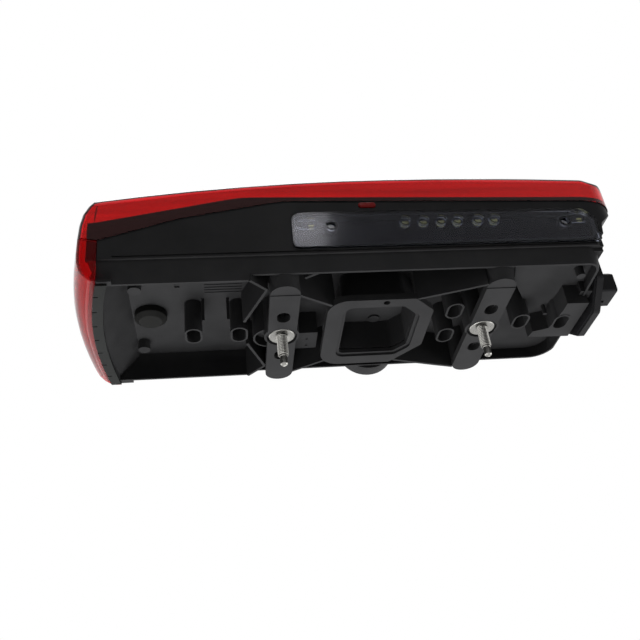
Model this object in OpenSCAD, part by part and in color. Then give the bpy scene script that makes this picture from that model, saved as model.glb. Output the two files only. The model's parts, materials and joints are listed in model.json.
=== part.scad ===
// Rear lamp for the left side of a truck or trailer.
// X runs inboard along the lamp, +Y points to the vehicle, +Z is up.
// The origin lies between the two studs, in the plane of the mounting pads.

/* [Lamp body] */
// Foremost depth of the lens, from the mounting plane
front_depth = 90.8; // [84:0.1:100]
// Place along the lamp where the front stands furthest out
bow_peak = 10; // [0:1:30]
// Bow radius of the front towards the outer end
bow_outer = 1450; // [1300:10:2000]
// Bow radius of the front towards the inner end
bow_inner = 2500; // [2000:10:4000]
// Reach of the outer end from the origin
end_reach = 224; // [220:0.5:226]
// Bow radius of the outer end above its middle
end_bow = 450; // [400:5:500]
// Bow radius of the outer end below its middle
end_bow_low = 310; // [280:5:350]
// Half height of the lens and of the flange behind it
lens_half = 71.5; // [70:0.5:74]
// Wall of the lens
lens_wall = 2.5; // [2:0.1:3]
// Round of the lens's front edges
lens_round = 6; // [4:0.5:8]
// Wall of the housing
wall = 2; // [1.6:0.1:2.4]

/* [Skirt and cavity] */
// Half height of the skirt at its rim
skirt_half = 65.5; // [64:0.5:67]
// How much the skirt widens from its rim to the body
skirt_draft = 3.6; // [2:0.1:4]
// Inner end of the skirt
skirt_end = 152.5; // [151:0.5:153]
// Depth of the skirt's rim at the outer cavity
rim_high = 5; // [4.5:0.1:6]
// Depth of the skirt's rim elsewhere
rim_low = 10; // [8:0.5:12]
// Depth of the cavity floor
floor_depth = 31; // [29:0.5:33]
// Thickness of the floor
floor_wall = 2.5; // [2:0.1:3]
// Depth at which the skirt steps out to the body
step_depth = 23; // [22:0.5:25]

/* [Mounting] */
// Distance between the two studs
stud_spacing = 152; // [150:0.5:154]
// Thread diameter of a stud
stud_d = 8; // [6:1:10]
// Length of a stud beyond the pads
stud_length = 23.2; // [18:0.1:30]
// Diameter of a stud's round flange
stud_flange_d = 19; // [16:0.5:20]
// Width of a mounting pad
strap_w = 21; // [20:0.5:23]
// Half length of a mounting pad
strap_half = 64.5; // [62:0.5:66]
// Thickness of a mounting pad
strap_t = 5; // [4:0.5:7]

/* [Cup] */
// Depth of the cup
cup_depth = 30; // [26:0.5:30]

/* [Plate lamp] */
// Outer end of the number plate window
window_x0 = -69; // [-72:0.5:-66]
// Inner end of the number plate window
window_x1 = 151.3; // [149:0.1:153]
// Depth of the window's rear edge
window_rear = 27; // [26:0.5:28]
// Depth of the window's front edge
window_front = 57; // [55:0.5:59]
// Depth of the pocket behind the window
pocket_deep = 11; // [9:0.5:12]

/* [Plug socket] */
// Face of the plate that carries the plug collar
socket_x = 156; // [155:0.5:158]
// Thickness of that plate
socket_plate = 6; // [4:0.5:8]
// Length of the collar
collar_length = 19; // [16:0.5:22]

/* [Hidden] */

$fn = 48;
arc_step = 12;
far = 300;
stud_x = stud_spacing / 2;
shank_r = 4.6;
stud_recess_r = 11.3;
stud_boss_r = 13;
post_foot_r = 14.6;
front_edge = -front_depth;
body_half = lens_half - lens_wall;
black = [0.10, 0.10, 0.105];
dark = [0.16, 0.16, 0.17];
red = [0.80, 0.03, 0.04, 0.75];
amber = [1.0, 0.45, 0.05, 0.8];
clear = [0.85, 0.88, 0.9, 0.5];
smoke = [0.25, 0.26, 0.3, 0.6];
bright = [0.85, 0.86, 0.88];
board_green = [0.05, 0.30, 0.16];
steel = [0.72, 0.72, 0.70];

// Outlines are lists of corners, each with its x, its y and the radius of its round.
function unit(v) = v / norm(v);

function corner_arc(a, b, c, inset) =
    let (
        u = unit([b.x - a.x, b.y - a.y]),
        v = unit([c.x - b.x, c.y - b.y]),
        m = [-u.y, u.x],
        n = [-v.y, v.x],
        side = u.x * v.y - u.y * v.x >= 0 ? 1 : -1,
        corner = [b.x, b.y] + inset * (m + n) / (1 + m * n),
        sweep = acos(min(1, u * v)),
        r = max(0, b.z - side * inset),
        centre = corner - u * r * tan(sweep / 2) + side * r * m,
        steps = r > 0.05 ? ceil(sweep / arc_step) : 0
    )
    steps == 0 ? [corner] : [
        for (k = [0:steps])
            let (g = side * sweep * k / steps)
                centre - side * r * [m.x * cos(g) - m.y * sin(g), m.x * sin(g) + m.y * cos(g)]
    ];

function rounded(corners, inset = 0) =
    let (n = len(corners))
    [for (i = [0:n - 1]) each corner_arc(corners[(i + n - 1) % n], corners[i],
        corners[(i + 1) % n], inset)];

// The bow of the front, seen from above
function front_y(x) =
    front_edge + pow(x - bow_peak, 2) / 2 / (x < bow_peak ? bow_outer : bow_inner);

// The bow of the outer end, seen from the front
end_middle = 12;
function end_x(z) =
    -end_reach + pow(z - end_middle, 2) / 2 / (z > end_middle ? end_bow : end_bow_low);

// Shape of the outer end seen from above: how far it stands in at each depth
end_profile = [[-5, 13.5], [-8, 8.5], [-12, 4.6], [-16, 2.2], [-22, 0.5], [-28, 0], [-42, 0.2],
    [-53, 1.0], [-62, 2.8], [-68.6, 6], [-72, 8.8], [-74.5, 12.4], [-76, 16.4], [-100, 60]];

// Outline of the lamp seen from above
end_side = 155.3;
plan_corners = concat(
    [[end_side, 20, 0], [-240, 20, 0]],
    [for (x = [-240:35:110]) [x, front_y(x), 0]],
    [[153, front_y(153), 9], [168, -79.5, 9], [171, -63, 12], [168, -53, 4],
        [157, -42, 3], [end_side, -31, 3]]);

// Outline of the outer half seen from the front, its bow moved in by a distance
mid_x = 62;
overlap = 10;
function end_outline(shift) = concat(
    [[mid_x + overlap, lens_half, 0], [end_x(lens_half) + shift, lens_half, 6]],
    [for (z = [58:-16:-54]) [end_x(z) + shift, z, 0]],
    [[end_x(-lens_half) + shift, -lens_half, 4], [mid_x + overlap, -lens_half, 0]]);

// Outline of the inner half seen from the front
inner_outline = [[171, lens_half, 14], [0, lens_half, 0], [0, -lens_half, 0], [171, -lens_half, 15]];

// Outline of the flange's rear edge, seen from the front
flange_x = 153.6;
flange_outline = [[flange_x, lens_half, 18], [-far, lens_half, 0], [-far, -lens_half, 0],
    [flange_x, -lens_half, 10]];

// The part of the plan in front of the housing's own front edge, moved back by a distance
function front_zone(back) = [[200, -60 + back, 0], [150, -68 + back, 40],
    [-103, -74.5 + back, 80], [-200, -55 + back, 3], [-240, -50 + back, 0],
    [-240, -far, 0], [200, -far, 0]];

// The part of the plan that the main lens covers, which widens towards the outer end
function lens_zone(back) = [[200, -54 + back, 0], [150, -63.5 + back, 40],
    [-75, -69 + back, 80], [-146, -55.5 + back, 80], [end_strip, -38.5 + back, 2],
    [-210, -40.5 + back, 2], [-240, -44 + back, 0], [-240, -far, 0], [200, -far, 0]];

module along_x(x0, x1) translate([x0, 0, 0]) rotate([90, 0, 90]) linear_extrude(x1 - x0) children();
module along_y(y0, y1) translate([0, y1, 0]) rotate([90, 0, 0]) linear_extrude(y1 - y0) children();
module along_z(z0, z1) translate([0, 0, z0]) linear_extrude(z1 - z0) children();

module rod_y(x, z, r, y0, y1) translate([x, y1, z]) rotate([90, 0, 0]) cylinder(h = y1 - y0, r = r);
module rod_z(x, y, r, z0, z1) translate([x, y, z0]) cylinder(h = z1 - z0, r = r);
module block(x0, x1, y0, y1, z0, z1) translate([x0, y0, z0]) cube([x1 - x0, y1 - y0, z1 - z0]);

module oval(w, h) {
    square([w, h - w], center = true);
    translate([0, (h - w) / 2]) circle(d = w);
    translate([0, -(h - w) / 2]) circle(d = w);
}

// A thin upright wall between two points of the mounting plane
module web(a, b, y0, y1, t = wall) {
    run = b - a;
    translate([a.x, y1, a.y]) rotate([90, 0, 0]) rotate([0, 0, atan2(run.y, run.x)])
        translate([0, -t / 2, 0]) cube([norm(run), t, y1 - y0]);
}

module plan(inset = 0) polygon(rounded(plan_corners, inset));

// The outer half of the lamp, with its bowed and rounded end
module end_form(inset) {
    hull() {
        for (p = end_profile)
            along_y(p.x - 0.01, p.x) polygon(rounded(end_outline(p.y), inset));
    }
}

// The whole lamp with flat top and underside, its skin moved in by an inset
module body_form(inset) {
    intersection() {
        along_z(-lens_half + inset, lens_half - inset) plan(inset);
        union() {
            end_form(inset);
            intersection() {
                along_y(-far, 30) polygon(rounded(inner_outline, inset));
                block(mid_x - 0.1, far, -far, far, -far, far);
            }
        }
    }
}

// The front of the lamp with its edges rounded
module lens_form(inset) {
    r = max(lens_round - inset, 1.5);
    intersection() {
        hull() {
            for (a = [0:30:90]) {
                half = lens_half - inset - r * (1 - sin(a));
                along_z(-half, half) intersection() {
                    plan(inset + r * (1 - cos(a)));
                    translate([-far, -far]) square([2 * far, far - 30]);
                }
            }
        }
        body_form(inset);
    }
}

/* Housing */

// Outline of the skirt seen from the mounting side
skirt_in = 11;
skirt_corners = [[skirt_end, skirt_half, 18], [-190, skirt_half, 0],
    [end_x(skirt_half) + skirt_in, skirt_half, 4], [end_x(25) + skirt_in, 25, 0],
    [end_x(-15) + skirt_in, -15, 0], [end_x(-skirt_half) + skirt_in, -skirt_half, 3],
    [-190, -skirt_half, 0], [skirt_end - 4, -skirt_half, 10], [skirt_end, 20, 0]];

end_strip = -200;
open_end = -207;
panel_inset = 0.8;
window_out_z = lens_half - panel_inset;
window_base = -window_out_z;
floor_y = -floor_depth;
chamber_y = floor_y - floor_wall;
rim_split = -99;
tube_w = 12.8;
tube_h = 20;
tube_wall = 1.5;
tubes = [[-140, 1.5, -rim_high], [-107, 2, -rim_high], [107.5, 0, -rim_high],
    [139.5, 0, -rim_high + 2], [52, -17, -6], [52, 17, -6]];
cup_corners = [[32.5, 18.6, 4], [11, 43.7, 5], [-45, 43.7, 16], [-45, -44.8, 15],
    [17, -44.8, 5], [32.5, -29, 5]];
cup_open = [[21, 20, 4], [12, 30, 4], [-31, 30, 4], [-31, -33, 6], [10, -33, 5], [21, -22, 5]];
vent_x = -171.5;
vent_z = 8.2;
vent_r = 12;
vent_bore = 6;
ring_x = -84;
ring_z = 8.3;
ring_r = 12.7;
boss_x = 0;
boss_y = -31;
boss_r = 23;
boss_top = 79;
platform_depth = 20;
band_outer = 13.5;
band_inner = 21;
socket_y = -26;
socket_z = -10.5;
wall_top = [-207.5, -rim_high - 3];
wall_foot = [-188, chamber_y];

// The skirt's outline widens from the rim to the step
module skirt_form(inset) {
    hull() {
        along_y(-step_depth - 1, -step_depth) polygon(rounded(skirt_corners, inset - skirt_draft));
        along_y(-rim_high - 1.01, -rim_high - 1) polygon(rounded(skirt_corners, inset));
    }
}

module outer_shell() {
    intersection() {
        body_form(lens_wall);
        union() {
            difference() {
                skirt_form(0);
                block(rim_split, far, -rim_low, far, -far, far);
            }
            // The lamp's body behind its front edge
            difference() {
                block(open_end, far, -far, -step_depth, -far, far);
                along_z(-far, far) polygon(rounded(front_zone(0)));
            }
            // Rear edge of the outer end, under the trim strip
            block(-far, -190, -rim_high - 3, -rim_high - 1, -far, far);
        }
    }
    // Skin of the underside, top and inner end, nearly flush with the lens
    intersection() {
        body_form(panel_inset);
        block(end_strip + 0.4, far, -far, -step_depth, -far, far);
        difference() {
            union() {
                block(-far, far, -far, -33, -far, far);
                along_y(-34, 0) polygon(rounded(flange_outline));
            }
            along_z(-far, far) polygon(rounded(lens_zone(0.6)));
        }
    }
}

// Space open to the mounting side
module rear_cavity() {
    intersection() {
        union() {
            hull() {
                along_y(-step_depth - 1, -step_depth)
                    polygon(rounded(skirt_corners, wall - skirt_draft));
                along_y(10, 11) polygon(rounded(skirt_corners, wall + 3));
            }
            along_y(-far, -step_depth) polygon(rounded(skirt_corners, wall - skirt_draft));
        }
        along_y(-far, 10) union() {
            polygon(rounded(end_outline(band_inner)));
            translate([mid_x - 1, -lens_half]) square([200, 2 * lens_half]);
        }
        along_z(-far, far)
            polygon([[skirt_end, 10], [-end_reach, 10], [-204, -rim_high], [-185, floor_y],
                [skirt_end, floor_y]]);
    }
}

// Space in front of the floor, for the lights
module lamp_chamber() {
    intersection() {
        body_form(lens_wall + wall);
        along_z(-far, far)
            polygon([[-far, wall_top.y], wall_top, wall_foot, [far, chamber_y], [far, -far],
                [-far, -far]]);
    }
}

module plate_pocket(grow) {
    block(window_x0 + 3 - grow, window_x1 - 4 + grow, -window_front + 3 - grow,
        -window_rear - 3 + grow, window_base - 5, window_base + pocket_deep + grow);
}

module strap(x) {
    translate([x, 0, 0]) {
        along_y(-strap_t, 0) oval(strap_w, 2 * strap_half);
        for (s = [-1, 1]) {
            rod_y(0, s * (strap_half - strap_w / 2), strap_w / 2, chamber_y, -1);
            // Outwards the post widens towards its foot and swells the skirt
            intersection() {
                translate([0, -step_depth - 1, s * (strap_half - strap_w / 2)]) rotate([-90, 0, 0])
                    cylinder(h = step_depth - 1, r1 = post_foot_r, r2 = strap_w / 2);
                block(-20, 20, -far, 0, s * 70 - 9, s * 70 + 9);
            }
        }
        rod_y(0, 0, stud_boss_r, chamber_y, -1);
        block(-wall / 2, wall / 2, chamber_y, -strap_t + 0.5, -strap_half + 10, strap_half - 10);
    }
}

module strap_holes(x) {
    translate([x, 0, 0]) {
        for (z = [-26.6, 25.6])
            along_y(-strap_t - 8, 1) translate([0, z]) oval(9.5, 12.5);
        rod_y(0, 0, stud_recess_r, -3, 1);
        rod_y(0, 0, shank_r + 0.02, -20, 0);
        // Faint step at each rounded end of the pad
        for (s = [-1, 1]) {
            difference() {
                block(-20, 20, -0.6, 1, s * 59.5 - 5.9, s * 59.5 + 5.9);
                block(-20, 20, -far, far, -53.8, 53.8);
            }
        }
    }
}

module cup() {
    difference() {
        union() {
            along_y(-5, 0) polygon(rounded(cup_corners));
            along_y(chamber_y, -1) polygon(rounded(cup_open, -wall));
        }
        along_y(-2.5, 1) polygon(rounded(cup_open, -2.5));
        along_y(-cup_depth, 0) polygon(rounded(cup_open));
        along_y(-6, -2.5) polygon(rounded(cup_corners, wall), convexity = 4);
        rod_y(-3.8, -40.7, 2.4, -3, 1);
    }
    difference() {
        along_y(-5, -2) polygon(rounded(cup_open, -wall - 0.5));
        along_y(-6, 1) polygon(rounded(cup_open));
    }
    rod_y(0, 25, 4.5, -cup_depth - 1, -cup_depth + 1.5);
}

module tube_posts() {
    for (t = tubes)
        translate([t.x, 0, t.y]) along_y(chamber_y, t.z) oval(tube_w, tube_h);
}

module tube_bores() {
    for (t = tubes)
        translate([t.x, 0, t.y]) along_y(floor_y, 1)
            oval(tube_w - 2 * tube_wall, tube_h - 2 * tube_wall);
}

// Walls that tie the pads to the cup and close the outer cavity
module webs() {
    for (s = [-1, 1])
        web([-66, s * 53], [-40, s * 37], chamber_y, -0.5);
    // The outer cavity is closed towards the pad by a kinked wall
    for (k = [[[-103.5, -15], [-88.3, -54.4], [-100, -66]], [[-101, 15], [-87, 50], [-100, 64.8]]]) {
        web(k[0], k[1], chamber_y, -rim_high);
        web(k[1], k[2], chamber_y, -rim_high);
        web(k[1], [-76, sign(k[1].y) * 57], chamber_y, -rim_low);
    }
    web([-62, -59.5], [-53, -65.5], chamber_y, -rim_low);
    web([18, -43], [66, -58], chamber_y, -0.5);
    web([14, 42], [66, 58], chamber_y, -0.5);
}

module floor_details() {
    // Block beside the outer pad, with two small pips
    block(-66, -47, chamber_y, -12, 14.5, 37);
    for (z = [24, 33])
        rod_y(-55, z, 1, -13, -11.2);
    // Posts in the outer cavity
    rod_y(-180, 48, 4.6, chamber_y, -23);
    rod_y(-179.5, -31, 4.8, chamber_y, -24);
    // Fine ribs near the tubes
    for (k = [0:4])
        block(-131, -104, chamber_y, floor_y + 0.6, -30 + 3.2 * k, -29.2 + 3.2 * k);
    for (x = [-132.5, -114.5])
        block(x - 1, x + 1, chamber_y, -12, -9, -7.8);
    // Ring beside the outer pad
    rod_y(ring_x, ring_z, ring_r, chamber_y, -strap_t);
    // Raised floor beside the plug socket, and its post
    along_y(chamber_y, -platform_depth)
        polygon([[88, -67], [97, -32], [119, 6], [119, 24], [skirt_end, 24], [skirt_end, -67]]);
    rod_y(141, -47, 3.2, chamber_y, -12.5);
    rod_y(129.5, 1.5, 1.6, chamber_y, -12);
    // Soft step in the inner cavity
    along_x(84, skirt_end - 1)
        polygon([[floor_y - 1, 26], [-28, 34], [-24, 45], [-20, 67], [floor_y - 1, 67]]);
    // Round boss on the upper side
    rod_z(boss_x, boss_y, boss_r, body_half - 2, boss_top);
}

module floor_recesses() {
    rod_y(vent_x, vent_z, vent_bore + 0.02, chamber_y - 1, floor_y + 1);
    block(-152, -148.5, floor_y - 1.2, 0, -30, -24);
    difference() {
        rod_y(ring_x, ring_z, ring_r - 1.4, -12, -strap_t);
        rod_y(-stud_x, 0, stud_boss_r, -far, 0);
    }
}

// Box behind the plug socket
module socket_box() {
    along_y(chamber_y, -3.5)
        polygon([[119.5, 21], [153, 22], [153, -25], [136, -25.5], [136, -16], [132.5, 8.7],
            [121, 13]]);
    block(147, socket_x, chamber_y - 10, -11, -30, 24);
}

module socket_well() {
    block(146, socket_x - 2, -far, -8, -21, 19);
    along_x(socket_x - 3, socket_x + 1) translate([socket_y, socket_z])
        square([20, 22], center = true);
}

module housing() {
    color(black) difference() {
        union() {
            difference() {
                outer_shell();
                rear_cavity();
                lamp_chamber();
            }
            intersection() {
                plate_pocket(wall);
                body_form(panel_inset + 0.1);
            }
            for (x = [-stud_x, stud_x])
                strap(x);
            cup();
            tube_posts();
            intersection() {
                union() {
                    webs();
                    floor_details();
                }
                union() {
                    body_form(lens_wall);
                    block(-90, 90, -far, 0, -60, 60);
                    rod_z(boss_x, boss_y, boss_r, 0, boss_top);
                }
            }
            socket_box();
        }
        plate_pocket(0);
        for (x = [-stud_x, stud_x])
            strap_holes(x);
        tube_bores();
        floor_recesses();
        socket_well();
        // Groove along the underside and the upper side
        for (s = [-1, 1])
            block(-190, skirt_end - 4, -step_depth - 2.6, -step_depth - 1.2,
                s * window_out_z - 0.8, s * window_out_z + 0.8);
    }
}

/* Lenses and windows */

indicator_x = -166;
reverse_x = 84;
pane_w = 62;
pane_h = 96;
pane_z = 8;

module pane(x, grow) {
    translate([x, 0, pane_z]) along_y(-far, -60)
        polygon(rounded([[pane_w / 2, pane_h / 2, 8], [-pane_w / 2, pane_h / 2, 8],
            [-pane_w / 2, -pane_h / 2, 8], [pane_w / 2, -pane_h / 2, 8]], -grow));
}

module main_lens() {
    color(red) difference() {
        intersection() {
            lens_form(0);
            along_z(-far, far) polygon(rounded(lens_zone(0)));
        }
        lens_form(lens_wall);
        difference() {
            body_form(lens_wall);
            along_z(-far, far) polygon(rounded(front_zone(0)));
        }
        pane(indicator_x, 0);
        pane(reverse_x, 0);
    }
}

module lens_pane(x) {
    intersection() {
        difference() {
            lens_form(0);
            lens_form(lens_wall);
        }
        pane(x, 0);
    }
}

module indicator_window() color(amber) lens_pane(indicator_x);
module reverse_window() color(clear) lens_pane(reverse_x);

module side_lens() {
    color(red) difference() {
        intersection() {
            body_form(0);
            block(-far, end_strip, -far, -rim_high - 1, -far, far);
        }
        body_form(lens_wall);
        along_z(-far, far) polygon(rounded(lens_zone(0.4)));
    }
}

module lens_seal() {
    color(dark) difference() {
        intersection() {
            body_form(0.4);
            block(end_strip + 0.4, far, -far, far, -far, far);
            difference() {
                along_z(-far, far) polygon(rounded(lens_zone(0.6)));
                along_z(-far, far) polygon(rounded(lens_zone(0)));
            }
        }
        body_form(lens_wall);
    }
}

// Trim strip round the outer end, with its tick marks
module end_band() {
    color(dark) difference() {
        intersection() {
            along_y(-rim_high - 1, -rim_high + 0.8) difference() {
                polygon(rounded(end_outline(band_outer)));
                polygon(rounded(end_outline(band_inner)));
            }
            block(-far, -190, -far, far, -67, 68);
        }
        for (z = [-54, -36, -18, 0, 18, 36, 54])
            block(end_x(z) + band_outer - 1, end_x(z) + band_outer + 3.5, -rim_high + 0.2, 0,
                z - 0.5, z + 0.5);
    }
}

window_plan = [[window_x1, -window_rear + 1, 1.5], [window_x0, -window_rear, 4],
    [window_x0, -window_front, 8], [0, -window_front, 0], [window_x1 - 8, 2 - window_front, 9],
    [window_x1 + 0.8, -46, 8]];
window_out = 2.4;

module plate_window() {
    color(smoke) difference() {
        along_z(window_base - window_out, window_base) polygon(rounded(window_plan));
        along_z(window_base - window_out + 1.6, window_base + 1)
            polygon(rounded(window_plan, 1.6));
        for (p = screws)
            rod_z(p.x, p.y, well_r, window_base - window_out - 1, window_base);
    }
    // Wells down to the board, each with a screw in its floor
    color(smoke) for (p = screws) {
        difference() {
            rod_z(p.x, p.y, well_r + 1.2, window_base - window_out + 0.8, board_z);
            rod_z(p.x, p.y, well_r, window_base - window_out, board_z - 1.6);
            rod_z(p.x, p.y, 1.6, board_z - 2, board_z + 1);
        }
    }
    // Collars inside the window round the lights
    color(smoke) {
        for (x = [-58.1, 139.2])
            light_collar(x) rotate(90) difference() {
                oval(9, 15.5);
                oval(7.2, 13.7);
            }
        for (x = [11.8, 25, 38, 50, 65, 77.1])
            light_collar(x) difference() {
                circle(r = 4.2);
                circle(r = 3.4);
            }
    }
}

module light_collar(x) translate([x, led_y, 0])
    along_z(window_base - window_out + 1, window_base + 1.5) children();

screws = [[-41.4, -45.7], [128.6, -44.2]];
well_r = 3.4;
board_z = window_base + 5;
led_y = -48.5;
plate_led_x = [-54.8, 11.8, 25, 38, 50, 65, 77.1, 142.2];

module plate_board() {
    color(dark) difference() {
        block(window_x0 + 4, window_x1 - 4.5, -window_front + 4, -window_rear - 4, board_z,
            board_z + 1.6);
        for (p = screws)
            rod_z(p.x, p.y, 1.6, board_z - 1, board_z + 3);
    }
    // Posts of the pocket that carry the board
    color(dark) for (x = [-30, 110])
        rod_z(x, -42, 3, board_z + 1.5, window_base + pocket_deep);
}

module plate_leds() {
    color(bright) for (x = plate_led_x)
        block(x - 1.8, x + 1.8, led_y - 1.5, led_y + 1.5, board_z - 1.2, board_z);
}

module plate_screws() {
    color(steel) for (p = screws) translate([p.x, p.y, board_z - 1.6]) {
        difference() {
            translate([0, 0, -1.8]) cylinder(h = 1.8, r = 2.9);
            translate([-2, -0.4, -2.8]) cube([4, 0.8, 2]);
            translate([-0.4, -2, -2.8]) cube([0.8, 4, 2]);
        }
        translate([0, 0, -0.1]) cylinder(h = window_base + pocket_deep + 1.7 - board_z, r = 1.5);
    }
}

/* Studs, vent and plug */

module stud(x) {
    color(steel) {
        // Shank pressed into the pad, a little thicker than the thread
        rod_y(x, 0, shank_r, -20, -2.9);
        rod_y(x, 0, stud_d / 2, -1, stud_length - 8);
        translate([x, stud_length - 8, 0]) rotate([-90, 0, 0])
            cylinder(h = 1.2, r1 = stud_d / 2, r2 = 2.7);
        rod_y(x, 0, 2.7, stud_length - 7, stud_length - 0.8);
        translate([x, stud_length - 0.8, 0]) rotate([-90, 0, 0])
            cylinder(h = 0.8, r1 = 2.7, r2 = 2);
        rod_y(x, 0, stud_flange_d / 2, -3, -0.6);
    }
}

module stud_left() stud(-stud_x);
module stud_right() stud(stud_x);

// Rubber breather cap, its hollow spigot clipped into the floor
module vent_cap() {
    color(dark) difference() {
        union() {
            rod_y(vent_x, vent_z, vent_bore, chamber_y - 1, floor_y + 0.1);
            rod_y(vent_x, vent_z, vent_bore + 1, chamber_y - 2.5, chamber_y);
            rod_y(vent_x, vent_z, vent_r, floor_y, floor_y + 5);
            translate([vent_x, floor_y + 5, vent_z]) rotate([-90, 0, 0])
                cylinder(h = 3, r1 = vent_r, r2 = 8.4);
        }
        rod_y(vent_x, vent_z, 4, chamber_y - 3, floor_y + 5);
    }
}

plate_outline = [[2, 14, 3], [-9, 28, 4], [-41.5, 28, 6], [-41.5, -41, 6], [-16, -41, 4], [2, -20, 4]];
collar_corners = [[10, 11.5, 2], [-5, 11.5, 2], [-10, 5.5, 2], [-10, -5.5, 2], [-5, -11.5, 2],
    [10, -11.5, 2]];
collar_wall = 1.8;
plate_x = socket_x + 1;
collar_x = socket_x + socket_plate;
pin_x = 147.6;
pin_length = 24;
pin_r = 1.2;
pin_places = [for (y = [-30, -22]) for (k = [-1.5:1.5]) [y, socket_z + 4.8 * k]];

module collar_profile(grow) translate([socket_y, socket_z]) polygon(rounded(collar_corners, -grow));

module connector_socket() {
    color(black) difference() {
        union() {
            along_x(plate_x, collar_x) polygon(rounded(plate_outline));
            along_x(collar_x - 1, collar_x + collar_length) collar_profile(0);
            along_x(collar_x + 3, collar_x + 5.5) collar_profile(1);
            along_x(socket_x - 4, plate_x + 1) translate([socket_y, socket_z])
                square([18, 20], center = true);
        }
        along_x(collar_x, far) collar_profile(-collar_wall);
        // Latch hole in the collar
        rod_y(collar_x + 12, socket_z + 4, 1.6, -20, 0);
        pin_rods(0.01);
    }
}

module connector_seal() {
    color(dark) along_x(socket_x, plate_x) difference() {
        polygon(rounded(plate_outline, 2));
        translate([socket_y, socket_z]) square([20, 22], center = true);
    }
}

module pin_rods(grow) {
    for (p = pin_places)
        translate([pin_x, p.x, p.y]) rotate([0, 90, 0]) cylinder(h = pin_length, r = pin_r + grow);
}

module contact_pins() color(steel) pin_rods(0);

/* Inside the lamp */

board_y = -44;
board_z0 = -50;
board_z1 = 62;
bowl_z = 12;
carrier_front = -66;
carrier_wall = 1.6;
tail_x = -110;
stop_x = -54;
fog_x = 8;
reflex_x = 132;
bowls = [indicator_x + 4, tail_x, stop_x, fog_x, reverse_x - 14];
bowl_r = 25;
bowl_foot = 10;
bowl_depth = board_y - 3 - carrier_front;
guide_z = -40;
guide_x = [-160:40:120];

module main_board() {
    color(board_green) block(-182, 146, board_y - 1.6, board_y, board_z0, board_z1);
    color(board_green) block(140, 150, board_y - 1.6, board_y, socket_z - 8, socket_z + 8);
    color(board_green) for (p = [[-150, 50], [140, 50], [20, 58], [100, -44]])
        rod_y(p.x, p.y, 3, board_y - 0.5, chamber_y);
}

module led_group(x, colour) {
    color(colour) for (i = [-1, 1]) {
        for (j = [-1, 1])
            block(x + 5 * i - 1.8, x + 5 * i + 1.8, board_y - 2.8, board_y - 1.6,
                bowl_z + 5 * j - 1.8, bowl_z + 5 * j + 1.8);
    }
}

module tail_leds() led_group(tail_x, [0.9, 0.2, 0.2]);
module stop_leds() led_group(stop_x, [0.9, 0.2, 0.2]);
module fog_leds() led_group(fog_x, [0.9, 0.2, 0.2]);
module indicator_leds() led_group(bowls[0], [1, 0.6, 0.1]);
module reverse_leds() led_group(bowls[4], [0.95, 0.95, 0.8]);

// A reflector bowl, wide at the lens and narrow at the board
module bowl(x, grow) {
    translate([x, carrier_front, bowl_z]) rotate([-90, 0, 0])
        cylinder(h = bowl_depth, r1 = bowl_r + grow, r2 = bowl_foot + grow);
}

module carrier_block(inset) {
    intersection() {
        body_form(lens_wall + wall + 1 + inset);
        block(-182 + inset, 146 - inset, carrier_front + (inset > 0 ? carrier_wall : 0),
            board_y - 1.6, -50 + inset, 62 - inset);
    }
}

module reflector_carrier() {
    color(bright) difference() {
        union() {
            difference() {
                carrier_block(0);
                carrier_block(carrier_wall);
            }
            intersection() {
                carrier_block(0);
                for (x = bowls)
                    bowl(x, carrier_wall);
            }
            block(-182, 146, carrier_front, carrier_front + 6, guide_z - 7, guide_z + 7);
        }
        for (x = bowls) {
            bowl(x, 0);
            rod_y(x, bowl_z, bowl_r, carrier_front - 1, carrier_front + 0.01);
        }
        block(-180, 144, carrier_front - 1, carrier_front + 4, guide_z - 5, guide_z + 5);
        for (x = guide_x)
            rod_y(x, guide_z, 3.5, carrier_front - 1, board_y);
        block(reflex_x - 18, reflex_x + 11, carrier_front - 1, carrier_front + 1, -31 + 4, 45);
    }
}

module light_guide() {
    color(clear) {
        block(-179, 143, carrier_front - 3, carrier_front + 4, guide_z - 4.5, guide_z + 4.5);
        for (x = guide_x)
            rod_y(x, guide_z, 3, carrier_front + 3, board_y - 3);
    }
}

module guide_leds() {
    color([0.9, 0.2, 0.2]) for (x = guide_x)
        block(x - 1.6, x + 1.6, board_y - 3, board_y - 1.6, guide_z - 1.6, guide_z + 1.6);
}

module reflex_reflector() {
    color([0.8, 0.05, 0.05]) {
        block(reflex_x - 18, reflex_x + 11, carrier_front - 2, carrier_front + 1, -27, 45);
        for (i = [0:4]) {
            for (j = [0:11])
                translate([reflex_x - 15 + 5.8 * i, carrier_front - 2, -24 + 5.6 * j])
                    rotate([90, 0, 0]) cylinder(h = 1.6, r1 = 2.6, r2 = 0.6, $fn = 6);
        }
    }
}

side_tilt = atan2(wall_foot.x - wall_top.x, wall_top.y - wall_foot.y);
side_middle = (wall_top + wall_foot) / 2;

module side_place() translate([side_middle.x, side_middle.y, 4]) rotate([0, 0, side_tilt]) children();

module side_board() color(board_green) side_place() translate([-1.5, -10, -22]) cube([1.5, 20, 44]);

module side_led() {
    color([1, 0.6, 0.2]) side_place()
        for (z = [-12, 0, 12])
            translate([-2.6, -2, z - 2]) cube([1.1, 4, 4]);
}

// Wires from the pins to the main board
module inner_loom() {
    color(dark) for (p = pin_places)
        if (p.x < -29)
            rod_y(pin_x + 0.8, p.y, 0.8, board_y, p.x - pin_r);
}

housing();
main_lens();
side_lens();
indicator_window();
reverse_window();
lens_seal();
end_band();
plate_window();
plate_board();
plate_leds();
plate_screws();
stud_left();
stud_right();
vent_cap();
connector_socket();
connector_seal();
contact_pins();
reflector_carrier();
main_board();
tail_leds();
stop_leds();
indicator_leds();
reverse_leds();
fog_leds();
light_guide();
guide_leds();
reflex_reflector();
side_board();
side_led();
inner_loom();
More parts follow.
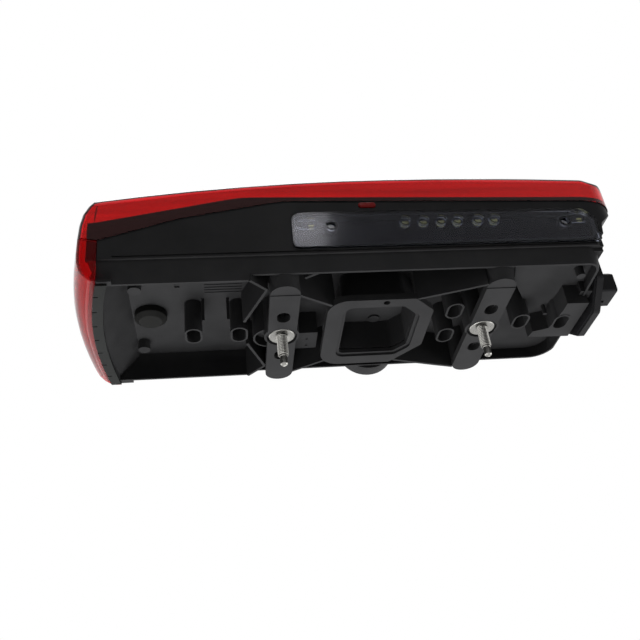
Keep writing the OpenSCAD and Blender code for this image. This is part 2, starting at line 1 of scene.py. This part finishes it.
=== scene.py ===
# %% [markdown]
# A rear lamp from a truck, seen from the side that bolts to the vehicle. The CAD frame holds every solid at
# its real size. This script gives the solids their finishes, rounds the edges that catch the light, and adds
# the small forms that the frame leaves out, such as the threads of the studs. Blender works in metres here,
# and MM turns millimetres into them.

# %% Load the frame
import bpy
import json
import math
from mathutils import Matrix, Vector


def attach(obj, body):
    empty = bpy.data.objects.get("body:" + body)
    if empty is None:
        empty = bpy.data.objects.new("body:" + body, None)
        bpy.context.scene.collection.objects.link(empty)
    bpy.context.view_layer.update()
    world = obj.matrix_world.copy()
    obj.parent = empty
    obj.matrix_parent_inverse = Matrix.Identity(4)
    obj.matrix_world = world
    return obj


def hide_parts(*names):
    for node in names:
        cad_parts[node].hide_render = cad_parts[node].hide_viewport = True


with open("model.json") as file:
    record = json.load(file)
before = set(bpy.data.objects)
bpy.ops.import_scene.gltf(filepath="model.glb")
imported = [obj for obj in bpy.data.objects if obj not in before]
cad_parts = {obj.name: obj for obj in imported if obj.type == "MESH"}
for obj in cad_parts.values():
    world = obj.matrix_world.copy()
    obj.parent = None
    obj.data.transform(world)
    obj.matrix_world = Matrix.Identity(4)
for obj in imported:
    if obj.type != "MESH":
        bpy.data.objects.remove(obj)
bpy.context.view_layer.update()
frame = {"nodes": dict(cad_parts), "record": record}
scene = bpy.context.scene
MM = 0.001
print("frame nodes:", len(frame["nodes"]))

# %% [markdown]
# The camera stands below the lamp on the vehicle's side and looks up at it, so the lamp's underside is at
# the top of the picture. Its place and its three directions were found by matching the studs, pads and rims.

# %% Camera
lens_mm = 45.33
sensor_mm = 36
near_limit = 10 * MM
stand = Vector((-0.1223, 0.3060, -0.5048))
ahead = Vector((0.1260, -0.5310, 0.8380)).normalized()
right = Vector((0.9912, 0.1014, -0.0848))
right = (right - right.dot(ahead) * ahead).normalized()
up = right.cross(ahead)
axes = Matrix((right, up, -ahead)).transposed()

view_data = bpy.data.cameras.new("view")
view_data.lens = lens_mm
view_data.sensor_width = sensor_mm
view_data.clip_start = near_limit
view = bpy.data.objects.new("view", view_data)
scene.collection.objects.link(view)
view.matrix_world = Matrix.LocRotScale(stand, axes.to_quaternion(), None)
scene.camera = view
print("camera looks along", [round(part, 3) for part in ahead])

# %% [markdown]
# The photo was taken in a white tent. A white world stands for it, but at full strength it would turn the
# black plastic grey. So the camera, mirrors and glass see the world white, and the surfaces themselves get a
# weaker, even light from it. A Light Path node tells these rays apart.

# %% World
ambient = 0.09


def link(tree, giver, output, taker, entry):
    tree.links.new(giver.outputs[output], taker.inputs[entry])


def calculate(tree, operation, *values):
    """A Math node, fed with sockets and numbers."""
    step = tree.nodes.new("ShaderNodeMath")
    step.operation = operation
    for entry, value in zip(step.inputs, values):
        if isinstance(value, bpy.types.NodeSocket):
            tree.links.new(value, entry)
        else:
            entry.default_value = value
    return step.outputs["Value"]


def spread(tree, value, low, high, start=0.0, end=1.0):
    """What runs from start to end runs from low to high instead."""
    ramp = tree.nodes.new("ShaderNodeMapRange")
    ramp.inputs["From Min"].default_value = start
    ramp.inputs["From Max"].default_value = end
    ramp.inputs["To Min"].default_value = low
    ramp.inputs["To Max"].default_value = high
    tree.links.new(value, ramp.inputs["Value"])
    return ramp.outputs["Result"]


def seen_directly(tree):
    """1 for rays that show the background itself, 0 for those that light a surface."""
    path = tree.nodes.new("ShaderNodeLightPath").outputs
    plain_or_mirrored = calculate(tree, "MAXIMUM", path["Is Camera Ray"], path["Is Glossy Ray"])
    return calculate(tree, "MAXIMUM", plain_or_mirrored, path["Is Transmission Ray"])


scene.view_settings.view_transform = "Standard"
scene.world = bpy.data.worlds.new("white_tent")
scene.world.use_nodes = True
sky = scene.world.node_tree
background = sky.nodes["Background"]
background.inputs["Color"].default_value = (1, 1, 1, 1)
sky.links.new(spread(sky, seen_directly(sky), ambient, 1.0), background.inputs["Strength"])
print("world light on surfaces:", ambient)

# %% [markdown]
# The floor is a sheet of white paper far below the lamp. It follows the same rule as the world: it glows
# white where a ray shows it, so that no horizon can be seen, and it is matt grey where it passes light on.

# %% Floor
floor_z = -1.5
floor_size = 10
paper_grey = (0.45, 0.45, 0.45, 1)
paper_roughness = 0.9

bpy.ops.mesh.primitive_grid_add(x_subdivisions=8, y_subdivisions=8, size=floor_size, location=(0, 0, floor_z))
floor = bpy.context.object
floor.name = "floor"
paper = bpy.data.materials.new("white_paper")
paper.use_nodes = True
floor.data.materials.append(paper)
sheet = paper.node_tree
matt = sheet.nodes["Principled BSDF"]
matt.inputs["Base Color"].default_value = paper_grey
matt.inputs["Roughness"].default_value = paper_roughness
glow = sheet.nodes.new("ShaderNodeEmission")
either = sheet.nodes.new("ShaderNodeMixShader")
sheet.links.new(seen_directly(sheet), either.inputs[0])
link(sheet, matt, "BSDF", either, 1)
link(sheet, glow, "Emission", either, 2)
link(sheet, either, "Shader", sheet.nodes["Material Output"], "Surface")
print("floor at", floor_z, "m")

# %% [markdown]
# Large area lamps stand for the lit walls of the tent, because a large lamp shades softly. The strongest one
# lights the mounting side. The smallest one is a bright seam of the tent: the smoked window mirrors it as a
# soft patch. A ray that has passed through glass doesn't meet the lamps, or they would show as hard squares.

# %% Lamps


def lamp(name, place, target, size, watts):
    """A square area lamp that faces its target."""
    data = bpy.data.lights.new(name, "AREA")
    data.size = size
    data.energy = watts
    light = bpy.data.objects.new(name, data)
    scene.collection.objects.link(light)
    light.location = place
    light.rotation_euler = (Vector(target) - Vector(place)).to_track_quat("-Z", "Y").to_euler()
    light.visible_transmission = False


lamp("tent_back", (-0.25, 1.15, 0.12), (0, 0, 0), size=1.1, watts=17)
lamp("tent_high", (-0.8, 0.5, 0.9), (0, 0, 0), size=0.8, watts=4)
lamp("tent_front", (0.0, -1.1, 0.35), (0, -0.05, 0), size=1.0, watts=5)
lamp("tent_side", (1.1, 0.45, 0.1), (0.1, 0, 0), size=0.7, watts=6)
lamp("tent_seam", (-0.004, -0.35, -0.461), (-0.06, -0.04, -0.073), size=0.055, watts=0.19)

# %% [markdown]
# Every finish is a Principled shader whose values wander a little from place to place, as they do on a real
# surface. An image could do that, but it would need the mesh unwrapped. Solid noise in the object's own
# coordinates runs right through the piece, so it has no seams and doesn't slide.

# %% Patterns
finishes = {}


def new_finish(name):
    """A material that is kept under the name of its slot; its node tree is returned."""
    material = bpy.data.materials.new(name + "_finish")
    material.use_nodes = True
    finishes[name] = material
    return material.node_tree


def setting(tree, name):
    """One input of the material's Principled shader."""
    return tree.nodes["Principled BSDF"].inputs[name]


def object_place(tree):
    return tree.nodes.new("ShaderNodeTexCoord").outputs["Object"]


def noise(tree, per_metre, detail, stretch=(1, 1, 1)):
    """Cloudy noise; a large stretch makes the clouds short along that axis."""
    turn = tree.nodes.new("ShaderNodeMapping")
    turn.inputs["Scale"].default_value = stretch
    pattern = tree.nodes.new("ShaderNodeTexNoise")
    pattern.inputs["Scale"].default_value = per_metre
    pattern.inputs["Detail"].default_value = detail
    tree.links.new(object_place(tree), turn.inputs["Vector"])
    link(tree, turn, "Vector", pattern, "Vector")
    return pattern.outputs["Fac"]


print("patterns lie in object coordinates")

# %% [markdown]
# A pattern can work on a surface in three ways: as a number such as the roughness, as a colour between two,
# and as a height, which a Bump node turns into light and shade without new faces. Noise stays mostly between
# 0.3 and 0.7, so that part is spread out. A Mix node has sockets of one name for each kind of value, so the
# colour ones are picked by their places.

# %% Surfaces that wander
noise_low = 0.3
noise_high = 0.7
mix_colour_a = 6
mix_colour_b = 7
mix_colour_out = 2


def vary(tree, name, pattern, low, high):
    """A pattern moves one of the shader's values between two ends."""
    tree.links.new(spread(tree, pattern, low, high, noise_low, noise_high), setting(tree, name))


def blend(tree, factor, first, second):
    """The base colour goes from the first to the second as the factor goes from 0 to 1."""
    mix = tree.nodes.new("ShaderNodeMix")
    mix.data_type = "RGBA"
    tree.links.new(factor, mix.inputs["Factor"])
    mix.inputs[mix_colour_a].default_value = (*first, 1)
    mix.inputs[mix_colour_b].default_value = (*second, 1)
    tree.links.new(mix.outputs[mix_colour_out], setting(tree, "Base Color"))


def wander(tree, colour, amount, per_metre, stretch=(1, 1, 1)):
    """The base colour, a little darker and lighter from place to place."""
    clouds = noise(tree, per_metre, detail=3.0, stretch=stretch)
    dark = [part * (1 - amount) for part in colour]
    light = [min(1, part * (1 + amount)) for part in colour]
    blend(tree, spread(tree, clouds, 0, 1, noise_low, noise_high), dark, light)


def emboss(tree, pattern, height_mm, strength=1.0, invert=False):
    """A pattern shows as raised relief."""
    bump = tree.nodes.new("ShaderNodeBump")
    bump.inputs["Distance"].default_value = height_mm * MM
    bump.inputs["Strength"].default_value = strength
    bump.invert = invert
    tree.links.new(pattern, bump.inputs["Height"])
    tree.links.new(bump.outputs["Normal"], setting(tree, "Normal"))


print("ways to use a pattern:", [way.__name__ for way in (vary, blend, wander, emboss)])

# %% [markdown]
# Nearly every piece of the lamp is moulded plastic, and one recipe serves them all: a base colour that
# wanders, cloudy patches of roughness, which break up a reflection as on a real moulding, and a fine grain.
# Of the black pieces on the outside, the rubber ones are the dullest and the plug socket is the smoothest.

# %% Moulded plastics
plastic_clouds = 45
plastic_patches = 90
cloud_amount = 0.12
patch_amount = 0.06
grain_strength = 0.6


def plastic(name, colour, roughness, shine=0.12, grain_mm=0.5, grain_height_mm=0.01):
    """Shine is the strength of the surface reflection, of which the shader's own value is 0.5."""
    tree = new_finish(name)
    setting(tree, "Specular IOR Level").default_value = shine
    wander(tree, colour, cloud_amount, plastic_clouds)
    patches = noise(tree, plastic_patches, detail=4.0)
    vary(tree, "Roughness", patches, roughness - patch_amount, roughness + patch_amount)
    emboss(tree, noise(tree, 1 / (grain_mm * MM), detail=2.0), grain_height_mm, grain_strength)


plastic("housing_black", (0.033, 0.033, 0.034), roughness=0.42, shine=0.03)
plastic("plug_black", (0.022, 0.022, 0.023), roughness=0.36, shine=0.04)
plastic("seal_rubber", (0.010, 0.010, 0.011), roughness=0.6, shine=0.08)
plastic("band_grey", (0.014, 0.015, 0.0145), roughness=0.45, shine=0.06)
plastic("vent_rubber", (0.015, 0.015, 0.0145), roughness=0.55, shine=0.04)
plastic("wire_black", (0.02, 0.02, 0.02), roughness=0.5)
plastic("board_black", (0.006, 0.006, 0.008), roughness=0.7, shine=0.02, grain_height_mm=0.001)
plastic("board_green", (0.02, 0.16, 0.07), roughness=0.3, grain_mm=0.8)
plastic("led_red", (0.7, 0.1, 0.08), roughness=0.3)
plastic("led_amber", (0.85, 0.45, 0.08), roughness=0.3)
plastic("led_white", (0.90, 0.84, 0.30), roughness=0.3)
plastic("reflex_red", (0.26, 0.008, 0.008), roughness=0.3, shine=0.08)
print("plastics:", list(finishes))

# %% [markdown]
# The lens is red acrylic, 2.5 mm thick. The white background shows through it at its edge, and elsewhere the
# light comes back through it off the bright reflector. Red paint would look the same everywhere, so the
# recipe passes light and colours it on the way. The smoked window and the clear panes differ in their values.
# The side lens bends and passes less than acrylic does, which was tuned to its look in the photo.

# %% Clear plastics
acrylic_bend = 1.49
clear_clouds = 30
clear_cloud_amount = 0.05
clear_patches = 60
clear_patch_amount = 0.05
streaks_per_metre = 190
streak_stretch = (0.04, 1, 1)
waves_per_metre = 260


def clear_plastic(name, colour, roughness, mirror=(1, 1, 1), waves_mm=0.0, painted_streaks=0.0, through=1.0,
                  bend=acrylic_bend):
    """Colour is what passes, mirror how much reflection is kept, and streaks are lighter and darker bands
    painted along the lamp where the real lens shows bands of light.
    """
    tree = new_finish(name)
    setting(tree, "Transmission Weight").default_value = through
    setting(tree, "IOR").default_value = bend
    setting(tree, "Specular Tint").default_value = (*mirror, 1)
    # Painted light: with streaks, the colour runs in lighter and darker bands along the lamp, painted in
    # place of the bands of light and shade in the real lens.
    if painted_streaks:
        wander(tree, colour, painted_streaks, streaks_per_metre, streak_stretch)
    else:
        wander(tree, colour, clear_cloud_amount, clear_clouds)
    patches = noise(tree, clear_patches, detail=3.0)
    vary(tree, "Roughness", patches, roughness, roughness + clear_patch_amount)
    if waves_mm:
        emboss(tree, noise(tree, waves_per_metre, detail=2.0), waves_mm, grain_strength)


# The main lens gets painted streaks of light and shade along its length.
clear_plastic("lens_red", (0.58, 0.005, 0.009), roughness=0.03, mirror=(0.4, 0.14, 0.14),
              waves_mm=0.03, painted_streaks=0.2)
clear_plastic("side_red", (0.60, 0.005, 0.010), roughness=0.06, mirror=(0.5, 0.15, 0.15),
              waves_mm=0.02, through=0.82, bend=1.24)
clear_plastic("lens_amber", (0.95, 0.38, 0.03), roughness=0.05)
clear_plastic("lens_clear", (0.93, 0.94, 0.95), roughness=0.03)
clear_plastic("dome_clear", (0.93, 0.94, 0.95), roughness=0.02)
clear_plastic("window_smoke", (0.52, 0.54, 0.60), roughness=0.11, mirror=(0.10, 0.10, 0.12),
              waves_mm=0.02)
clear_plastic("guide_clear", (0.92, 0.94, 0.95), roughness=0.05)
print("clear plastics made, finishes so far:", len(finishes))

# %% [markdown]
# The amber and the clear zone of the front have upright flutes, which spread the light sideways. Real ribs
# would cost many faces where nobody looks closely, so a wave pattern shows them as relief. Blender's wave
# goes round once while its scaled coordinate grows by one twentieth of two pi.

# %% Flutes of the panes
wave_factor = 20
flute_mm = 6
flute_height_mm = 0.25

for name in ("lens_amber", "lens_clear"):
    tree = finishes[name].node_tree
    ribs = tree.nodes.new("ShaderNodeTexWave")
    ribs.inputs["Scale"].default_value = 2 * math.pi / wave_factor / (flute_mm * MM)
    tree.links.new(object_place(tree), ribs.inputs["Vector"])
    emboss(tree, ribs.outputs["Fac"], flute_height_mm)
print("a flute every", flute_mm, "mm")

# %% [markdown]
# The studs are zinc on turned steel, the screws are steel and the pins tinned. Turning leaves fine marks
# across a part's axis, and a stretched noise gives them to the roughness and to the relief alike. The
# reflector is plastic with a very thin coat of aluminium, so its marks have no direction.

# %% Metals
scratches_per_metre = 900
scratch_height_mm = 0.004
scratch_strength = 0.5
smoother_by = 0.05
rougher_by = 0.1
metal_clouds = 80
metal_cloud_amount = 0.06
marks_across_y = (1, 12, 1)
marks_across_x = (12, 1, 1)
no_direction = (1, 1, 1)


def bare_metal(name, roughness, stretch):
    """Metal with fine marks, whose colour is still to be set."""
    tree = new_finish(name)
    setting(tree, "Metallic").default_value = 1.0
    marks = noise(tree, scratches_per_metre, detail=3.0, stretch=stretch)
    vary(tree, "Roughness", marks, roughness - smoother_by, roughness + rougher_by)
    emboss(tree, marks, scratch_height_mm, scratch_strength)
    return tree


def metal(name, colour, roughness, stretch):
    wander(bare_metal(name, roughness, stretch), colour, metal_cloud_amount, metal_clouds)


metal("stud_zinc", (0.29, 0.285, 0.27), roughness=0.28, stretch=marks_across_y)
metal("screw_steel", (0.55, 0.55, 0.55), roughness=0.3, stretch=marks_across_y)
metal("pin_tin", (0.7, 0.7, 0.7), roughness=0.28, stretch=marks_across_x)
metal("reflector_silver", (0.86, 0.86, 0.88), roughness=0.16, stretch=no_direction)
print("metals made, finishes so far:", len(finishes))

# %% [markdown]
# Such a reflector is covered with small pillows, so that each light shows as a net of sparks. In a Voronoi
# pattern the distance from the middle of a cell grows outwards. Inverted, it is highest in the middle, and
# as relief that is a pillow.

# %% Pillows of the reflector
pillow_mm = 4
pillow_height_mm = 0.6
pillow_disorder = 0.15

tree = finishes["reflector_silver"].node_tree
pillows = tree.nodes.new("ShaderNodeTexVoronoi")
pillows.inputs["Scale"].default_value = 1 / (pillow_mm * MM)
pillows.inputs["Randomness"].default_value = pillow_disorder
tree.links.new(object_place(tree), pillows.inputs["Vector"])
emboss(tree, pillows.outputs["Distance"], pillow_height_mm, invert=True)
print("pillows of", pillow_mm, "mm")

# %% [markdown]
# The roots of a thread lie in the shade of its turns, and that shade is painted: the roots get a near-black
# colour, darker than the crests. The distance from the stud's own axis tells the two apart. Both studs lie
# equally far from the middle of the lamp, so one material serves both. The tip is thinner than the roots and
# yet bright, so a smaller distance keeps the painted shade off it.

# %% Zinc of the threads
flange_r = 9.5 * MM
thread_r = 4.0 * MM
root_r = 3.3 * MM
tip_limit = 2.9 * MM
# Painted shade: this near-black colour stands in for the shade in the roots between the thread's turns.
root_painted_shade = (0.012, 0.011, 0.010)
crest_bright = (0.27, 0.265, 0.25)
stud_x = max(corner.co.x for corner in frame["nodes"]["stud_right"].data.vertices) - flange_r

tree = bare_metal("thread_zinc", roughness=0.28, stretch=marks_across_y)
position = tree.nodes.new("ShaderNodeSeparateXYZ")
tree.links.new(object_place(tree), position.inputs[0])
sideways = calculate(tree, "SUBTRACT", calculate(tree, "ABSOLUTE", position.outputs["X"]), stud_x)
upwards = position.outputs["Z"]
sideways_squared = calculate(tree, "MULTIPLY", sideways, sideways)
upwards_squared = calculate(tree, "MULTIPLY", upwards, upwards)
away = calculate(tree, "SQRT", calculate(tree, "ADD", sideways_squared, upwards_squared))
on_crest = spread(tree, away, 0, 1, root_r, thread_r)
on_tip = calculate(tree, "LESS_THAN", away, tip_limit)
blend(tree, calculate(tree, "MAXIMUM", on_crest, on_tip), root_painted_shade, crest_bright)
print("stud places:", round(stud_x / MM, 2), "mm either side")

# %% [markdown]
# On the real lamp each part is of one material, so each CAD node gets one finish. A list of pairs could hand
# them out, but the record already names a material slot for each node. That name picks the finish, and
# nothing is stated twice.

# %% Finishes on the CAD nodes
slots = {part["node"]: part["material_slot"] for part in frame["record"]["subparts"]}
for node, slot_name in slots.items():
    solid = frame["nodes"][node]
    solid.data.materials.clear()
    solid.data.materials.append(finishes[slot_name])
print("nodes finished:", len(slots))

# %% [markdown]
# A moulding never has a sharp edge. A copy of a CAD solid has its doubled corners welded and its flat faces
# joined, a Bevel modifier rounds its edges, and then the copy stands for the node. Smooth shading alone would
# bend the light on the flat faces beside a rounded edge, so larger faces weigh more in the normals.

# %% Recipe for a rounded copy
weld_gap = 0.01 * MM
flat_angle = math.radians(0.5)
edge_angle = math.radians(35)
smooth_angle = math.radians(40)


def select_only(piece):
    bpy.ops.object.select_all(action="DESELECT")
    piece.select_set(True)
    bpy.context.view_layer.objects.active = piece


def edit_all():
    """Edit mode with everything selected."""
    bpy.ops.object.mode_set(mode="EDIT")
    bpy.ops.mesh.select_all(action="SELECT")


def rounded_copy(node, name, width_mm, segments=2, finish=None):
    piece = bpy.data.objects.new(name, frame["nodes"][node].data.copy())
    scene.collection.objects.link(piece)
    select_only(piece)
    edit_all()
    bpy.ops.mesh.remove_doubles(threshold=weld_gap)
    bpy.ops.mesh.dissolve_limited(angle_limit=flat_angle)
    bpy.ops.object.mode_set(mode="OBJECT")
    bevel = piece.modifiers.new("round", "BEVEL")
    bevel.width = width_mm * MM
    bevel.segments = segments
    bevel.limit_method = "ANGLE"
    bevel.angle_limit = edge_angle
    bpy.ops.object.modifier_apply(modifier=bevel.name)
    bpy.ops.object.shade_smooth_by_angle(angle=smooth_angle)
    even = piece.modifiers.new("even", "WEIGHTED_NORMAL")
    even.mode = "FACE_AREA"
    even.keep_sharp = True
    bpy.ops.object.modifier_apply(modifier=even.name)
    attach(piece, "root")
    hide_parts(node)
    if finish:
        piece.data.materials.clear()
        piece.data.materials.append(finishes[finish])
    print(name, "faces", len(piece.data.polygons))


print("edges sharper than", round(math.degrees(edge_angle)), "degrees get rounded")

# %% [markdown]
# Hard mouldings have small roundings, and rubber and screw heads have larger ones. The lens that wraps round
# the outer end looks paler in the photo than the main one, so it gets a finish of its own.

# %% Rounded pieces
rounded_copy("housing", "housing_moulding", width_mm=0.25)
rounded_copy("main_lens", "main_lens_shell", width_mm=0.15)
rounded_copy("side_lens", "side_lens_shell", width_mm=0.4, finish="side_red")
rounded_copy("plate_window", "plate_window_pane", width_mm=0.3)
rounded_copy("connector_socket", "connector_socket_moulding", width_mm=0.35)
rounded_copy("end_band", "end_band_strip", width_mm=0.15)
rounded_copy("vent_cap", "vent_cap_rubber", width_mm=0.5, segments=3)
rounded_copy("plate_screws", "plate_screw_heads", width_mm=0.5, segments=3)

# %% [markdown]
# Each stud is a turned part: a round flange, a threaded shaft and a thinner tip. Flange and tip are made as
# on a lathe. A disc is extruded along the axis and resized, step by step, through a profile of places and
# radii.

# %% Flange and tip of a stud
round_sides = 48
flange_profile = [(-3, 9.3), (-2.8, 9.5), (-0.9, 9.5), (-0.6, 9.2), (-0.7, 5.2), (-1.2, 4.4)]
tip_profile = [(14.4, 3.3), (15.2, 3.7), (15.9, 3.3), (16.3, 2.7), (22.4, 2.7), (23.2, 2.0), (22.9, 1.2)]


def leave_edit():
    """Turn every normal outwards and go back to object mode."""
    bpy.ops.mesh.select_all(action="SELECT")
    bpy.ops.mesh.normals_make_consistent(inside=False)
    bpy.ops.object.mode_set(mode="OBJECT")


def turned(name, profile):
    """A closed solid round the Y axis, from places along it and radii, both in mm."""
    start, radius = profile[0]
    bpy.ops.mesh.primitive_circle_add(vertices=round_sides, radius=radius * MM, fill_type="NGON",
                                      location=(0, start * MM, 0), rotation=(math.pi / 2, 0, 0))
    piece = bpy.context.object
    piece.name = name
    bpy.ops.object.transform_apply(location=True, rotation=True, scale=True)
    edit_all()
    for (old_place, old_radius), (new_place, new_radius) in zip(profile, profile[1:]):
        bpy.ops.mesh.extrude_region_move(
            TRANSFORM_OT_translate={"value": (0, (new_place - old_place) * MM, 0)})
        ratio = new_radius / old_radius
        bpy.ops.transform.resize(value=(ratio, 1, ratio))
    leave_edit()
    return piece


flange = turned("flange", flange_profile)
tip = turned("tip", tip_profile)
print("flange faces:", len(flange.data.polygons), "tip faces:", len(tip.data.polygons))

# %% [markdown]
# The thread is M8, with a pitch of 1.25 mm. The outline of one turn is drawn with a plane's four corners. The
# Screw modifier winds it round the axis, so that each turn meets the next. Two spare turns leave enough to
# cut both ends square.

# %% Thread of a stud
pitch = 1.25 * MM
thread_start = -1.2 * MM
thread_end = 15.2 * MM
crest_start = 0.42
crest_end = 0.58
steps_in_turn = 24
spare_turns = 2
running_order = (0, 1, 3, 2)


def edit_only(piece, kind, wanted):
    """Edit mode with only those edges or faces selected that pass a test."""
    bpy.ops.object.mode_set(mode="EDIT")
    bpy.ops.mesh.select_mode(type=kind)
    bpy.ops.mesh.select_all(action="DESELECT")
    bpy.ops.object.mode_set(mode="OBJECT")
    parts = piece.data.edges if kind == "EDGE" else piece.data.polygons
    for part in parts:
        part.select = wanted(part)
    bpy.ops.object.mode_set(mode="EDIT")


def outline(name, corners):
    """A plane whose corners are moved to four given places."""
    bpy.ops.mesh.primitive_plane_add(size=MM)
    piece = bpy.context.object
    piece.name = name
    for index, corner in zip(running_order, corners):
        piece.data.vertices[index].co = corner
    return piece


def wind_round(piece, axis, steps, rise=0.0, turns=1):
    """Wind an outline round an axis, weld its turns and stay in edit mode."""
    bpy.ops.object.mode_set(mode="OBJECT")
    wind = piece.modifiers.new("wind", "SCREW")
    wind.axis = axis
    wind.screw_offset = rise
    wind.iterations = turns
    wind.steps = steps
    wind.render_steps = steps
    wind.use_merge_vertices = True
    wind.merge_threshold = weld_gap
    bpy.ops.object.modifier_apply(modifier=wind.name)
    edit_all()
    bpy.ops.mesh.remove_doubles(threshold=weld_gap)


def closes_outline(edge):
    """The edge along the root, which would become a wall inside the thread."""
    return set(edge.vertices) == {running_order[0], running_order[-1]}


def thread(name, start, end):
    """A screw thread round the Y axis, cut square at both ends."""
    section = [(root_r, 0), (thread_r, crest_start), (thread_r, crest_end), (root_r, 1)]
    piece = outline(name, [(radius, start + (part - 1) * pitch, 0) for radius, part in section])
    edit_only(piece, "EDGE", closes_outline)
    bpy.ops.mesh.delete(type="EDGE_FACE")
    wind_round(piece, "Y", steps_in_turn, pitch, math.ceil((end - start) / pitch) + spare_turns)
    for place, side in ((start, -1), (end, 1)):
        bpy.ops.mesh.select_all(action="SELECT")
        bpy.ops.mesh.bisect(plane_co=(0, place, 0), plane_no=(0, side, 0), use_fill=True, clear_outer=True)
    leave_edit()
    return piece


winding = thread("thread", thread_start, thread_end)
print("thread faces:", len(winding.data.polygons))

# %% [markdown]
# One flange and one shaft are made and then copied to both places. Each copy has a mesh of its own, because
# its corners are moved rather than the object: the patterns then lie in the lamp's own coordinates. Flange
# and shaft stay two pieces, because they have two finishes.

# %% Studs put together


def joined(pieces, name):
    bpy.ops.object.select_all(action="DESELECT")
    for piece in pieces:
        piece.select_set(True)
    bpy.context.view_layer.objects.active = pieces[0]
    bpy.ops.object.join()
    pieces[0].name = name
    return pieces[0]


def copy_of(piece, name, move):
    """A copy with its own mesh, moved by a vector in metres."""
    other = bpy.data.objects.new(name, piece.data.copy())
    scene.collection.objects.link(other)
    other.data.transform(Matrix.Translation(Vector(move)))
    return other


def finish_piece(piece, slot, angle, finish=None):
    """Smooth shading, the slot's material or another finish, and the body it rides on."""
    select_only(piece)
    bpy.ops.object.shade_smooth_by_angle(angle=math.radians(angle))
    piece.data.materials.clear()
    piece.data.materials.append(finishes[finish or slot])
    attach(piece, "root")


shaft = joined([winding, tip], "shaft_master")
for node, side in (("stud_left", -1), ("stud_right", 1)):
    place = (side * stud_x, 0, 0)
    foot = copy_of(flange, node + "_flange", place)
    finish_piece(foot, "stud_zinc", angle=40)
    stud = copy_of(shaft, node + "_thread", place)
    finish_piece(stud, "stud_zinc", angle=40, finish="thread_zinc")
    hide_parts(node)
bpy.data.objects.remove(flange)
bpy.data.objects.remove(shaft)
print("faces of one shaft:", len(stud.data.polygons))

# %% [markdown]
# Behind the smoked window each light sits under a small clear dome, moulded to gather its beam. Half a
# sphere, cut flat and closed, is the natural start. It is stretched a little along its axis, and its round
# side looks down to the window.

# %% Domes over the plate lights
dome_x_mm = (11.8, 25, 38, 50, 65, 77.1)
dome_y = -48.5 * MM
dome_z = -66.6 * MM
dome_r = 3.3 * MM
dome_stretch = 1.3

bpy.ops.mesh.primitive_uv_sphere_add(segments=32, ring_count=16, radius=dome_r)
dome = bpy.context.object
edit_all()
bpy.ops.mesh.bisect(plane_co=(0, 0, -weld_gap), plane_no=(0, 0, 1), use_fill=True, clear_outer=True)
bpy.ops.mesh.select_all(action="SELECT")
bpy.ops.transform.resize(value=(1, 1, dome_stretch))
bpy.ops.object.mode_set(mode="OBJECT")
for number, x_mm in enumerate(dome_x_mm, 1):
    one = copy_of(dome, f"plate_dome_{number}", (x_mm * MM, dome_y, dome_z))
    finish_piece(one, "lens_clear", angle=50, finish="dome_clear")
bpy.data.objects.remove(dome)
print("domes:", len(dome_x_mm))

# %% [markdown]
# The window's two screws sit in wells, and a thin clear funnel stands round each of them behind the window.
# A cone with a Boolean cut would do as well. But the section has four corners, so the helpers of the thread
# serve again: the outline is wound once round the Z axis, without a rise, and closes on itself.

# %% Funnels round the window's screws
screw_places_mm = ((-41.4, -45.7), (128.6, -44.2))
funnel_top = -67.2 * MM
funnel_mouth = -71.4 * MM
funnel_section = [(4.75 * MM, 0, funnel_top), (5.0 * MM, 0, funnel_top),
                  (5.6 * MM, 0, funnel_mouth), (5.2 * MM, 0, funnel_mouth)]

funnel = outline("funnel", funnel_section)
edit_all()
bpy.ops.mesh.delete(type="ONLY_FACE")
wind_round(funnel, "Z", round_sides)
leave_edit()
for number, (x_mm, y_mm) in enumerate(screw_places_mm, 1):
    one = copy_of(funnel, f"plate_funnel_{number}", (x_mm * MM, y_mm * MM, 0))
    finish_piece(one, "lens_clear", angle=50, finish="dome_clear")
bpy.data.objects.remove(funnel)
print("funnels:", len(screw_places_mm))

# %% [markdown]
# A small red lug of the lens snaps over the flange near the middle of the underside. It starts as a block.
# Its upright edges are bevelled widely, its lower face is inset and pushed out a little, so that it tapers
# as a moulding must, and a last narrow bevel softens every edge.

# %% Red lug on the flange
lug_low = Vector((-20.0, -66.2, -71.6)) * MM
lug_high = Vector((-7.5, -61.6, -70.3)) * MM
shortest_upright = 0.5 * MM
straight_down = -0.9
corner_r = 1.9 * MM
draw_in = 1.2 * MM
draw_out = 0.5 * MM
soft_edge = 0.3 * MM


def upright(edge):
    one_end, other_end = (lug.data.vertices[index].co.z for index in edge.vertices)
    return abs(one_end - other_end) > shortest_upright


def faces_down(face):
    return face.normal.z < straight_down


bpy.ops.mesh.primitive_cube_add(size=1, location=(lug_low + lug_high) / 2, scale=lug_high - lug_low)
lug = bpy.context.object
lug.name = "lens_lug"
bpy.ops.object.transform_apply(location=True, rotation=True, scale=True)
edit_only(lug, "EDGE", upright)
bpy.ops.mesh.bevel(offset=corner_r, segments=4)
edit_only(lug, "FACE", faces_down)
bpy.ops.mesh.inset(thickness=draw_in)
bpy.ops.transform.translate(value=(0, 0, -draw_out))
bpy.ops.mesh.select_all(action="SELECT")
bpy.ops.mesh.bevel(offset=soft_edge, segments=2)
bpy.ops.object.mode_set(mode="OBJECT")
finish_piece(lug, "reflex_red", angle=28)
print("lug faces:", len(lug.data.polygons))
